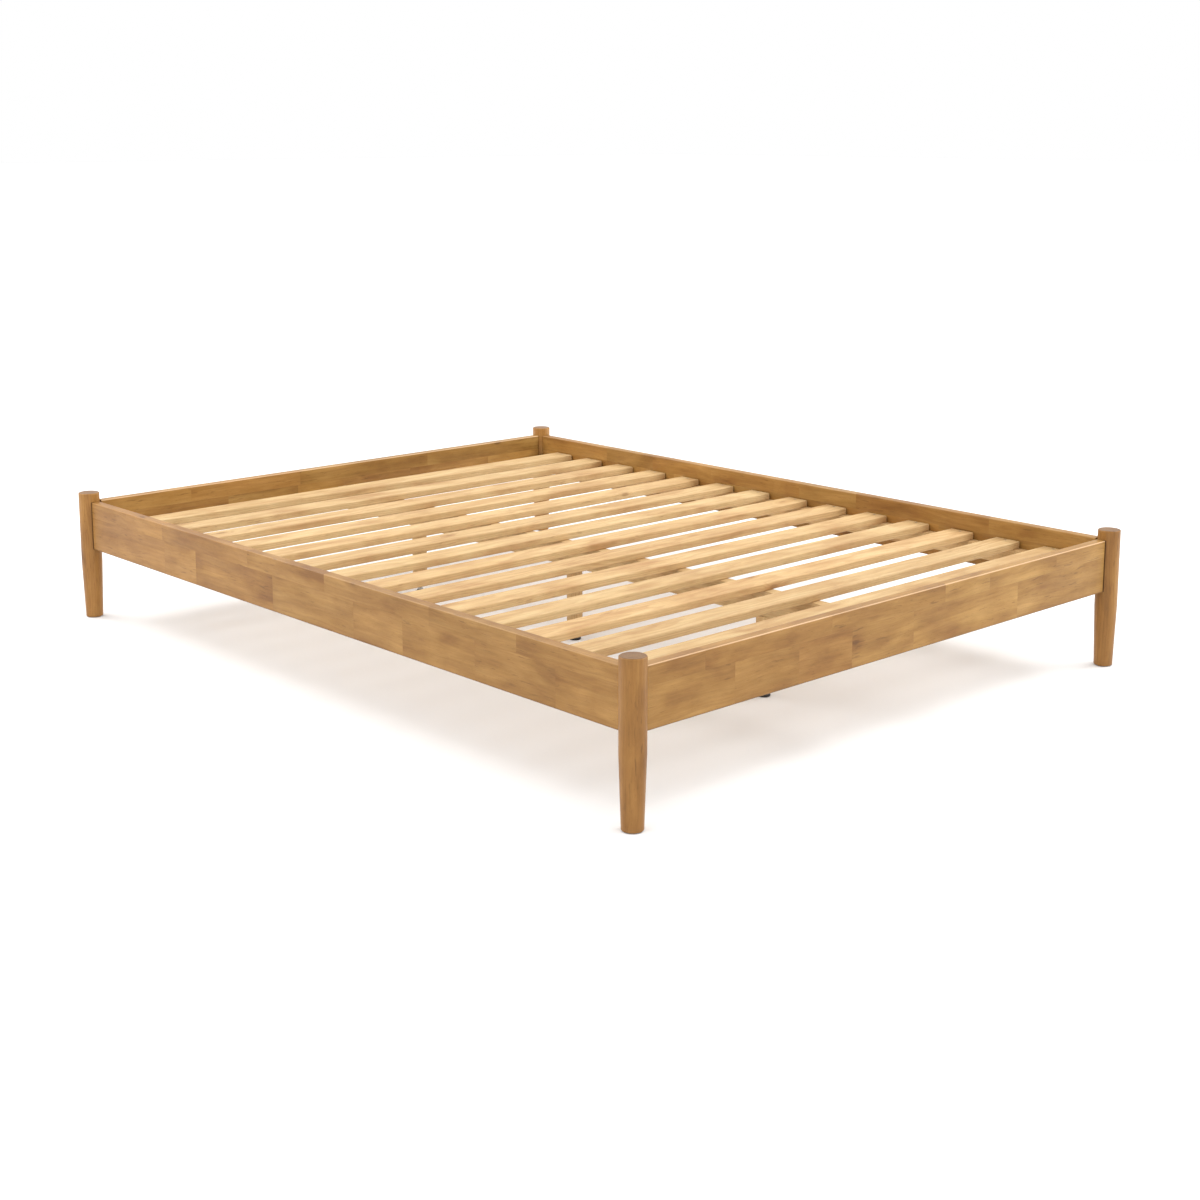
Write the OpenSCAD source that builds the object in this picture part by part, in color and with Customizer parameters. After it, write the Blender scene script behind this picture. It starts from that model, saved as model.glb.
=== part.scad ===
// Low platform bed frame of solid wood with four round tapered corner posts.
// Millimetres. Origin on the floor under the middle of the frame.
// +X runs across the bed, +Y to the head end, +Z up. Left is -X, right is +X.

/* [Mattress] */
// Width of the mattress that the frame holds
mattress_w = 1530; // [900:10:2000]
// Length of the mattress that the frame holds
mattress_l = 2030; // [1880:10:2130]
// Free space between the mattress and each rail
mattress_gap = 10.5; // [5:0.5:20]

/* [Posts] */
// Height of the corner posts
post_h = 337; // [300:1:420]
// Radius of the straight upper part of a post
post_r = 27; // [26:0.5:32]
// Radius of a post at the floor
post_foot_r = 22; // [15:0.5:26]
// Height at which the taper of a post ends
taper_z = 150; // [60:1:180]
// Rounding of the top edge of a post
post_ease = 3; // [1:0.5:5]

/* [Rails] */
// Thickness of the outer rails
rail_t = 25; // [22:0.5:27]
// Height of the bottom edge of the rails above the floor
rail_bottom_z = 187; // [170:1:190]
// Height of the top edge of the rails above the floor
rail_top_z = 314; // [305:1:325]
// Distance from a post axis out to the outer face of a rail
rail_out = 8; // [7:0.5:9]
// Distance from a post axis to the end of a rail, on its flat seat on the post
rail_end = 26.5; // [25.5:0.1:27]
// Rounding of the long edges of a rail
rail_ease = 3; // [1:0.5:4]
// Width of the shadow gap left between the outer face of a rail and the post
gap_w = 3; // [0.5:0.1:4]
// Depth of the shadow gap from the outer face of a rail
gap_depth = 7; // [2:0.5:10]

/* [Slats] */
// Number of slats
slat_count = 14; // [10:1:16]
// Width of a slat
slat_w = 70; // [50:1:90]
// Thickness of a slat
slat_t = 18; // [12:1:22]
// Height of the slat tops above the floor
slat_top_z = 270; // [266:1:280]
// Distance from the middle of the bed to the axis of the last slat
last_slat_y = 908; // [880:1:912]

/* [Support] */
// Thickness of the ledgers that carry the slat ends
ledger_t = 25; // [18:1:30]
// Height of the ledger section
ledger_h = 40; // [30:1:45]
// Width of the centre beam
beam_w = 30; // [25:1:45]
// Height of the centre beam section
beam_h = 60; // [50:1:61]
// Radius of a centre leg
leg_r = 20; // [16:1:25]
// Distance from the middle leg to each outer leg
leg_pitch = 650; // [500:10:800]
// Height of the wooden end of a centre leg above the floor
leg_bottom_z = 30; // [30:1:36]

/* [Hardware] */
// Thickness of the steel corner brackets
bracket_t = 3; // [2:0.5:4]
// Height of a corner bracket
bracket_h = 56; // [50:1:58]
// Distance from a post axis to the plate that its bolts pull on
bracket_reach = 40; // [38:0.5:44]
// Thickness of the steel of the beam hangers
hanger_t = 2.5; // [1.5:0.5:3]
// Radius of a floor glide
glide_r = 14; // [10:1:16]
// Height of a glide below the wood
glide_z = 1.5; // [1:0.5:3]

/* [Hidden] */
// Number of segments of a full round
fine = 72;
// Clearance all round between separate pieces in a loose fit
fit = 0.3;
// Clearance between a fastener and its hole
snug = 0.05;
// Amount by which a cutting shape stands clear of a surface
over = 1;

rail_in_x = mattress_w / 2 + mattress_gap;
rail_in_y = mattress_l / 2 + mattress_gap;
post_x = rail_in_x + rail_t - rail_out;
post_y = rail_in_y + rail_t - rail_out;
rail_in = rail_t - rail_out;
rail_h = rail_top_z - rail_bottom_z;
rail_mid = rail_out - rail_t / 2;
rail_mid_z = (rail_top_z + rail_bottom_z) / 2;
rail_end_ease = 1;

// Corner bolts, measured along the diagonal from the post axis
bolt_r = 4;
insert_r = 5;
insert_l = 17;
insert_in = 8;
bracket_z = 193;
bolt_zs = [bracket_z + 16, bracket_z + bracket_h - 14];
wing_end = 90;
washer_r = 8;
washer_t = 1.6;
bolt_l = 30;
bolt_head_h = 5.3;
// Radius over the corners of a 13 mm hexagon
hex_r = 13 / sqrt(3);

// Dowels between posts and rails
dowel_r = 4;
dowel_in_post = 15;
dowel_in_rail = 20;
dowel_zs = [222, 290];

// Screws of the brackets and hangers
screw_r = 2;
screw_l = 18;
screw_head_r = 4;
screw_head_h = 2.2;
wing_screw_at = [58, 78];
wing_screw_zs = [bracket_z + 12, bracket_z + bracket_h - 12];

// Slats and ledgers
slat_pitch = 2 * last_slat_y / (slat_count - 1);
slat_bottom_z = slat_top_z - slat_t;
slat_l = 2 * (rail_in_x - 3.5);
slat_screw_x = rail_in_x - ledger_t / 2;
slat_screw_l = 34;
ledger_end = last_slat_y + slat_w / 2 + 5;
ledger_z = slat_bottom_z - ledger_h;
ledger_screw_count = 7;
ledger_screw_z = ledger_z + 14;
ledger_screw_l = 42;
ledger_screw_r = 2.2;

// Centre beam, its hangers and its legs
beam_z = slat_bottom_z - beam_h;
beam_end = rail_in_y - hanger_t - 0.5;
hanger_side = beam_w / 2 + 0.2;
hanger_flange = 18;
hanger_depth = 40;
hanger_top_z = beam_z + 46;
hanger_screw_x = hanger_side + hanger_t + hanger_flange / 2;
hanger_screw_zs = [beam_z + 12, beam_z + 34];
leg_ys = [leg_pitch, 0, -leg_pitch];
leg_bolt_l = 65;
leg_bolt_top = slat_bottom_z - 9;

// Levelling feet
stud_r = 3.95;
stud_l = 49;
pad_r = 16;
pad_h = 10;
pad_socket_z = 3;

function slat_name(i) = str("slat_", i < 10 ? "0" : "", i);
function slat_y(i) = -last_slat_y + (i - 1) * slat_pitch;
function ledger_screw_y(i) = (i - (ledger_screw_count - 1) / 2) * 285;

// ---------- colours ----------

module frame_wood() {
    color([0.74, 0.54, 0.32]) children();
}

module pale_wood() {
    color([0.86, 0.74, 0.55]) children();
}

module zinc() {
    color([0.72, 0.73, 0.75]) children();
}

module plastic() {
    color([0.12, 0.12, 0.12]) children();
}

// ---------- shared shapes ----------

// Rectangle centred on the origin with exact round corners
module round_rect(w, h, r) {
    square([w - 2 * r, h], center = true);
    square([w, h - 2 * r], center = true);
    for (x = [-1, 1])
        for (y = [-1, 1])
            translate([x * (w / 2 - r), y * (h / 2 - r)])
                circle(r = r, $fn = fine);
}

// Bar along X with rounded long edges, centred on the origin
module bar_x(l, w, h, r) {
    rotate([90, 0, 90])
        linear_extrude(height = l, center = true)
            round_rect(w, h, r);
}

// Bar along Y with rounded long edges, centred on the origin
module bar_y(l, w, h, r) {
    rotate([90, 0, 0])
        linear_extrude(height = l, center = true)
            round_rect(w, h, r);
}

// Puts a piece made at the corner of the head and the right side onto any corner:
// in its own frame the post axis is the origin and the inside of the bed lies to -X and -Y
module at_corner(sx, sy) {
    translate([sx * post_x, sy * post_y, 0])
        mirror([sx < 0 ? 1 : 0, 0, 0])
            mirror([0, sy < 0 ? 1 : 0, 0])
                children();
}

module at_all_corners() {
    for (sx = [-1, 1])
        for (sy = [-1, 1])
            at_corner(sx, sy) children();
}

// Swaps X and Y, to turn a side rail feature into an end rail feature
module swapped() {
    mirror([1, -1, 0]) children();
}

// Lays a Z axis along the inner diagonal of a corner, z = 0 at the post axis
module along_diagonal(z) {
    translate([0, 0, z])
        rotate([0, 90, 225])
            children();
}

// Round cutting shape along Z that starts a little below zero
module drill(r, depth) {
    translate([0, 0, -over])
        cylinder(r = r, h = depth + over, $fn = fine);
}

// ---------- posts ----------

module post_profile() {
    base_ease = 1;
    polygon([
        [0, glide_z],
        [post_foot_r - base_ease, glide_z],
        [post_foot_r, glide_z + base_ease],
        [post_r, taper_z],
        [post_r, post_h - post_ease],
        [0, post_h - post_ease]
    ]);
    translate([0, post_h - post_ease])
        square([post_r - post_ease, post_ease]);
    translate([post_r - post_ease, post_h - post_ease])
        circle(r = post_ease, $fn = fine);
}

// Cut for the flat seat that the end of a side rail is pulled against
module rail_seat() {
    translate([-rail_in, -post_r - over, rail_bottom_z - fit])
        cube([rail_t, post_r + over - rail_end, rail_h + 2 * fit]);
}

// Dowel holes of the side rail in the post
module post_dowel_holes() {
    for (z = dowel_zs)
        translate([rail_mid, -rail_end, z])
            rotate([-90, 0, 0])
                drill(dowel_r + snug, dowel_in_post + 0.5);
}

module post_shape() {
    difference() {
        rotate_extrude($fn = fine) post_profile();
        rail_seat();
        swapped() rail_seat();
        post_dowel_holes();
        swapped() post_dowel_holes();
        for (z = bolt_zs)
            along_diagonal(z)
                translate([0, 0, insert_in])
                    cylinder(r = insert_r + snug, h = post_r, $fn = fine);
        drill(glide_r + 0.2, glide_z + 3.5);
        drill(1.2 + snug, glide_z + 16);
    }
}

module post_head_left() {
    frame_wood() at_corner(-1, 1) post_shape();
}

module post_head_right() {
    frame_wood() at_corner(1, 1) post_shape();
}

module post_foot_left() {
    frame_wood() at_corner(-1, -1) post_shape();
}

module post_foot_right() {
    frame_wood() at_corner(1, -1) post_shape();
}

// ---------- rails ----------

// Plain board with eased edges, along Y, centred on its own middle
module rail_board(l) {
    intersection() {
        bar_y(l, rail_t, rail_h, rail_ease);
        linear_extrude(height = rail_h + 2 * over, center = true)
            round_rect(rail_t, l, rail_end_ease);
    }
}

// Holes at one end of a side rail, in the frame of its corner
module rail_end_holes() {
    for (z = dowel_zs)
        translate([rail_mid, -rail_end, z])
            rotate([90, 0, 0])
                drill(dowel_r + snug, dowel_in_rail + 0.5);
    for (a = wing_screw_at)
        for (z = wing_screw_zs)
            translate([-rail_in, -a, z])
                rotate([0, 90, 0])
                    drill(screw_r + snug, screw_l - bracket_t + 1);
}

// Rebate down the outer corner of a rail end, in the frame of its corner
module rail_end_rebate() {
    translate([rail_out - gap_depth, -rail_end - gap_w, rail_bottom_z - over])
        cube([gap_depth + over, gap_w + over, rail_h + 2 * over]);
}

// Right side rail, in place
module side_rail_shape() {
    difference() {
        translate([rail_in_x + rail_t / 2, 0, rail_mid_z])
            rail_board(2 * (post_y - rail_end));
        for (sy = [-1, 1])
            at_corner(1, sy) {
                rail_end_holes();
                rail_end_rebate();
            }
        for (i = [0:ledger_screw_count - 1])
            translate([rail_in_x, ledger_screw_y(i), ledger_screw_z])
                rotate([0, 90, 0])
                    drill(ledger_screw_r + snug, ledger_screw_l - ledger_t + 1);
    }
}

// Head rail, in place
module end_rail_shape() {
    difference() {
        translate([0, rail_in_y + rail_t / 2, rail_mid_z])
            rotate([0, 0, 90])
                rail_board(2 * (post_x - rail_end));
        for (sx = [-1, 1])
            at_corner(sx, 1) swapped() {
                rail_end_holes();
                rail_end_rebate();
            }
        for (x = [-1, 1])
            for (z = hanger_screw_zs)
                translate([x * hanger_screw_x, rail_in_y, z])
                    rotate([-90, 0, 0])
                        drill(screw_r + snug, screw_l - hanger_t + 1);
    }
}

module head_rail() {
    frame_wood() end_rail_shape();
}

module foot_rail() {
    frame_wood() mirror([0, 1, 0]) end_rail_shape();
}

module side_rail_right() {
    frame_wood() side_rail_shape();
}

module side_rail_left() {
    frame_wood() mirror([1, 0, 0]) side_rail_shape();
}

// ---------- ledgers ----------

// Right ledger, in place
module ledger_shape() {
    difference() {
        translate([rail_in_x - ledger_t / 2, 0, ledger_z + ledger_h / 2])
            bar_y(2 * ledger_end, ledger_t, ledger_h, 2);
        for (i = [0:ledger_screw_count - 1])
            translate([rail_in_x - ledger_t, ledger_screw_y(i), ledger_screw_z])
                rotate([0, 90, 0]) {
                    drill(ledger_screw_r + snug, ledger_t + over);
                    countersink(4.4, ledger_screw_r + snug);
                }
        for (i = [1:slat_count])
            translate([slat_screw_x, slat_y(i), slat_bottom_z])
                rotate([180, 0, 0])
                    drill(screw_r + snug, slat_screw_l - slat_t + 1);
    }
}

// Cone that lets a screw head sink below the surface at z = 0
module countersink(r_top, r_low) {
    depth = r_top - r_low;
    cylinder(r1 = r_top, r2 = r_low, h = depth, $fn = fine);
    translate([0, 0, -over])
        cylinder(r = r_top, h = over, $fn = fine);
}

// Countersunk wood screw that points to +Z with its head face at z = 0
module flat_screw(head_r, r, l) {
    slot_depth = 1.2;
    tip = 2 * r;
    difference() {
        union() {
            cylinder(r1 = head_r, r2 = r, h = head_r - r, $fn = fine);
            cylinder(r = r, h = l - tip, $fn = fine);
            translate([0, 0, l - tip])
                cylinder(r1 = r, r2 = 0.3, h = tip, $fn = fine);
        }
        cross_recess(head_r * 0.55, slot_depth);
    }
}

// Cross cut into a screw head from z = 0 upward
module cross_recess(reach, depth) {
    translate([-reach, -0.5, -over])
        cube([2 * reach, 1, depth + over]);
    translate([-0.5, -reach, -over])
        cube([1, 2 * reach, depth + over]);
}

module ledger_right() {
    pale_wood() ledger_shape();
}

module ledger_left() {
    pale_wood() mirror([1, 0, 0]) ledger_shape();
}

module ledger_screws() {
    zinc()
        for (side = [0, 1])
            mirror([side, 0, 0])
                for (i = [0:ledger_screw_count - 1])
                    translate([rail_in_x - ledger_t + 0.2, ledger_screw_y(i), ledger_screw_z])
                        rotate([0, 90, 0])
                            flat_screw(4.2, ledger_screw_r, ledger_screw_l);
}

// ---------- slats ----------

module slat(i) {
    pale_wood()
        difference() {
            translate([0, slat_y(i), slat_top_z - slat_t / 2])
                bar_x(slat_l, slat_w, slat_t, 3);
            for (x = [-1, 1])
                translate([x * slat_screw_x, slat_y(i), slat_top_z])
                    rotate([180, 0, 0]) {
                        drill(screw_r + snug, slat_t + over);
                        countersink(4.2, screw_r + snug);
                    }
        }
}

module slat_screws() {
    zinc()
        for (i = [1:slat_count])
            for (x = [-1, 1])
                translate([x * slat_screw_x, slat_y(i), slat_top_z - 0.2])
                    rotate([180, 0, 0])
                        flat_screw(4, screw_r, slat_screw_l);
}

// ---------- centre beam and its hangers ----------

module centre_beam() {
    pale_wood()
        difference() {
            translate([0, 0, beam_z + beam_h / 2])
                bar_y(2 * beam_end, beam_w, beam_h, 2);
            for (y = leg_ys)
                translate([0, y, slat_bottom_z])
                    rotate([180, 0, 0]) {
                        drill(bolt_r + 0.2, beam_h + over);
                        drill(washer_r + 0.5, slat_bottom_z - leg_bolt_top);
                    }
        }
}

// Bent steel hanger at the head end, in place
module hanger_shape() {
    half = hanger_side + hanger_t;
    full_h = hanger_top_z - beam_z + hanger_t;
    flange = half + hanger_flange;
    difference() {
        union() {
            translate([-flange, rail_in_y - hanger_t, beam_z - hanger_t])
                cube([2 * flange, hanger_t, full_h]);
            translate([-half, rail_in_y - hanger_depth, beam_z - hanger_t])
                cube([2 * half, hanger_depth, hanger_t]);
            for (x = [-half, hanger_side])
                translate([x, rail_in_y - hanger_depth, beam_z - hanger_t])
                    cube([hanger_t, hanger_depth, full_h]);
        }
        for (x = [-1, 1])
            for (z = hanger_screw_zs)
                translate([x * hanger_screw_x, rail_in_y - hanger_t, z])
                    rotate([-90, 0, 0])
                        drill(screw_r + 0.2, hanger_t + over);
    }
}

module beam_hanger_head() {
    zinc() hanger_shape();
}

module beam_hanger_foot() {
    zinc() mirror([0, 1, 0]) hanger_shape();
}

// ---------- centre legs ----------

module leg_shape(y) {
    leg_h = beam_z - leg_bottom_z;
    ease = 1.5;
    translate([0, y, 0])
        difference() {
            translate([0, 0, leg_bottom_z])
                rotate_extrude($fn = fine)
                    polygon([
                        [0, 0],
                        [leg_r - ease, 0],
                        [leg_r, ease],
                        [leg_r, leg_h - ease],
                        [leg_r - ease, leg_h],
                        [0, leg_h]
                    ]);
            translate([0, 0, leg_bottom_z])
                drill(insert_r + snug, stud_l - 5);
            translate([0, 0, beam_z])
                rotate([180, 0, 0])
                    drill(insert_r + snug, insert_l + 2);
        }
}

module centre_leg_head() {
    pale_wood() leg_shape(leg_ys[0]);
}

module centre_leg_middle() {
    pale_wood() leg_shape(leg_ys[1]);
}

module centre_leg_foot() {
    pale_wood() leg_shape(leg_ys[2]);
}

// ---------- corner brackets ----------

// Bent steel plate across a corner: two wings on the rails and a diagonal between them
module bracket_shape() {
    a = bracket_reach * sqrt(2);
    b = (bracket_reach + bracket_t) * sqrt(2);
    near = rail_in;
    far = rail_in + bracket_t;
    difference() {
        translate([0, 0, bracket_z])
            linear_extrude(height = bracket_h)
                polygon([
                    [-near, -wing_end],
                    [-near, -(a - near)],
                    [-(a - near), -near],
                    [-wing_end, -near],
                    [-wing_end, -far],
                    [-(b - far), -far],
                    [-far, -(b - far)],
                    [-far, -wing_end]
                ]);
        for (z = bolt_zs)
            along_diagonal(z)
                translate([0, 0, bracket_reach - over])
                    cylinder(r = bolt_r + 0.4, h = bracket_t + 2 * over, $fn = fine);
        wing_screw_holes();
        swapped() wing_screw_holes();
    }
}

module wing_screw_holes() {
    for (p = wing_screw_at)
        for (z = wing_screw_zs)
            translate([-rail_in - bracket_t, -p, z])
                rotate([0, 90, 0])
                    drill(screw_r + 0.2, bracket_t + over);
}

module corner_bracket_head_left() {
    zinc() at_corner(-1, 1) bracket_shape();
}

module corner_bracket_head_right() {
    zinc() at_corner(1, 1) bracket_shape();
}

module corner_bracket_foot_left() {
    zinc() at_corner(-1, -1) bracket_shape();
}

module corner_bracket_foot_right() {
    zinc() at_corner(1, -1) bracket_shape();
}

// ---------- fasteners ----------

// Hexagon bolt: shank to -Z from z = 0, head above
module hex_bolt(l) {
    translate([0, 0, -l])
        cylinder(r = bolt_r - snug, h = l, $fn = fine);
    linear_extrude(height = bolt_head_h)
        circle(r = hex_r, $fn = 6);
}

module corner_bolts() {
    zinc()
        at_all_corners()
            for (z = bolt_zs)
                along_diagonal(z)
                    translate([0, 0, bracket_reach + bracket_t + washer_t])
                        hex_bolt(bolt_l);
}

module corner_washers() {
    zinc()
        at_all_corners()
            for (z = bolt_zs)
                along_diagonal(z)
                    translate([0, 0, bracket_reach + bracket_t])
                        difference() {
                            cylinder(r = washer_r, h = washer_t, $fn = fine);
                            drill(bolt_r + 0.2, washer_t + over);
                        }
}

// Threaded insert, from z = 0 to its length
module insert_shape() {
    difference() {
        cylinder(r = insert_r, h = insert_l, $fn = fine);
        drill(bolt_r, insert_l + over);
    }
}

module threaded_inserts() {
    zinc() {
        at_all_corners()
            for (z = bolt_zs)
                along_diagonal(z)
                    translate([0, 0, insert_in])
                        insert_shape();
        for (y = leg_ys) {
            translate([0, y, leg_bottom_z]) insert_shape();
            translate([0, y, beam_z - insert_l]) insert_shape();
        }
    }
}

// Fluted hardwood dowel with bevelled ends, across the joint of a side rail and a post
module dowel_shape(z) {
    bevel = 1;
    l = dowel_in_post + dowel_in_rail;
    translate([rail_mid, -rail_end - dowel_in_rail, z])
        rotate([-90, 0, 0]) {
            cylinder(r1 = dowel_r - bevel, r2 = dowel_r, h = bevel, $fn = fine);
            translate([0, 0, bevel])
                cylinder(r = dowel_r, h = l - 2 * bevel, $fn = fine);
            translate([0, 0, l - bevel])
                cylinder(r1 = dowel_r, r2 = dowel_r - bevel, h = bevel, $fn = fine);
        }
}

module rail_dowels() {
    pale_wood()
        at_all_corners()
            for (z = dowel_zs) {
                dowel_shape(z);
                swapped() dowel_shape(z);
            }
}

// Round-head wood screw that points to +Z, its shank starting at z = 0
module round_screw() {
    tip = 2 * screw_r;
    difference() {
        union() {
            translate([0, 0, -screw_head_h])
                cylinder(r1 = screw_head_r - 1, r2 = screw_head_r, h = 1, $fn = fine);
            translate([0, 0, 1 - screw_head_h])
                cylinder(r = screw_head_r, h = screw_head_h - 1, $fn = fine);
            cylinder(r = screw_r, h = screw_l - tip, $fn = fine);
            translate([0, 0, screw_l - tip])
                cylinder(r1 = screw_r, r2 = 0.3, h = tip, $fn = fine);
        }
        translate([0, 0, -screw_head_h])
            cross_recess(2, 1.2);
    }
}

module wing_screws() {
    for (p = wing_screw_at)
        for (z = wing_screw_zs)
            translate([-rail_in - bracket_t, -p, z])
                rotate([0, 90, 0])
                    round_screw();
}

module bracket_screws() {
    zinc() {
        at_all_corners() {
            wing_screws();
            swapped() wing_screws();
        }
        for (end = [0, 1])
            mirror([0, end, 0])
                for (x = [-1, 1])
                    for (z = hanger_screw_zs)
                        translate([x * hanger_screw_x, rail_in_y - hanger_t, z])
                            rotate([-90, 0, 0])
                                round_screw();
    }
}

module leg_bolts() {
    zinc()
        for (y = leg_ys)
            translate([0, y, leg_bolt_top])
                hex_bolt(leg_bolt_l);
}

// ---------- floor contact ----------

module glide_shape() {
    rotate_extrude($fn = fine)
        polygon([
            [0, 0],
            [glide_r - 1, 0],
            [glide_r, 1],
            [glide_r, glide_z + 3.3],
            [1.2, glide_z + 3.3],
            [1.2, glide_z + 14],
            [0, glide_z + 15.5]
        ]);
}

module post_glides() {
    plastic() at_all_corners() glide_shape();
}

module stud_shape(y) {
    translate([0, y, pad_socket_z])
        cylinder(r = stud_r, h = stud_l, $fn = fine);
    translate([0, y, pad_h])
        linear_extrude(height = 5.5)
            circle(r = hex_r, $fn = 6);
}

module pad_shape(y) {
    translate([0, y, 0])
        difference() {
            rotate_extrude($fn = fine)
                polygon([
                    [0, 0],
                    [pad_r - 1, 0],
                    [pad_r, 1],
                    [pad_r, 4],
                    [9.5, 7],
                    [8.5, pad_h],
                    [0, pad_h]
                ]);
            translate([0, 0, pad_h])
                rotate([180, 0, 0])
                    drill(stud_r + snug, pad_h - pad_socket_z);
        }
}

module level_stud_head() {
    zinc() stud_shape(leg_ys[0]);
}

module level_stud_middle() {
    zinc() stud_shape(leg_ys[1]);
}

module level_stud_foot() {
    zinc() stud_shape(leg_ys[2]);
}

module level_pad_head() {
    plastic() pad_shape(leg_ys[0]);
}

module level_pad_middle() {
    plastic() pad_shape(leg_ys[1]);
}

module level_pad_foot() {
    plastic() pad_shape(leg_ys[2]);
}

// ---------- the parts ----------

post_head_left();
post_head_right();
post_foot_left();
post_foot_right();
head_rail();
foot_rail();
side_rail_left();
side_rail_right();
ledger_left();
ledger_right();
centre_beam();
centre_leg_head();
centre_leg_middle();
centre_leg_foot();
for (i = [1:slat_count])
    slat(i);
corner_bracket_head_left();
corner_bracket_head_right();
corner_bracket_foot_left();
corner_bracket_foot_right();
beam_hanger_head();
beam_hanger_foot();
level_stud_head();
level_stud_middle();
level_stud_foot();
level_pad_head();
level_pad_middle();
level_pad_foot();
corner_bolts();
corner_washers();
threaded_inserts();
rail_dowels();
bracket_screws();
ledger_screws();
slat_screws();
leg_bolts();
post_glides();
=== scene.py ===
"""Looks of the wooden bed frame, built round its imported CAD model.

Rails, corner brackets and levelling studs are rebuilt here in more detail. Every other piece keeps its CAD
shape and gets a procedural finish. Lengths are in metres."""

import math
import random
from collections import namedtuple

import bmesh
import bpy
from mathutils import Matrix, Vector


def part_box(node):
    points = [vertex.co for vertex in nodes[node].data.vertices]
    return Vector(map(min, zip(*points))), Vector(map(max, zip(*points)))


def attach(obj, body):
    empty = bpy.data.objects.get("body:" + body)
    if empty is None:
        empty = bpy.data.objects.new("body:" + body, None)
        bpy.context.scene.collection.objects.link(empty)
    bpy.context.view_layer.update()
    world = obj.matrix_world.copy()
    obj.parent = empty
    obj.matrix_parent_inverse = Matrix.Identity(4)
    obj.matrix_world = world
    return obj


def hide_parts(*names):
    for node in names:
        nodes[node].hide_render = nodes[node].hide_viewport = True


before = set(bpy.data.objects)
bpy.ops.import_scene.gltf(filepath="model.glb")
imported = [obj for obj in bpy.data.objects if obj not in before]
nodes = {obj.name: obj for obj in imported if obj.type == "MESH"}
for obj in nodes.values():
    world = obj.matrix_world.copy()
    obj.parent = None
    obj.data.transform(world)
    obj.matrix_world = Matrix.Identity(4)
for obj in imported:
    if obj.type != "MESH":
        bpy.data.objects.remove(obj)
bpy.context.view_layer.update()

MM = 0.001


# ---------- shader building ----------


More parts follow.
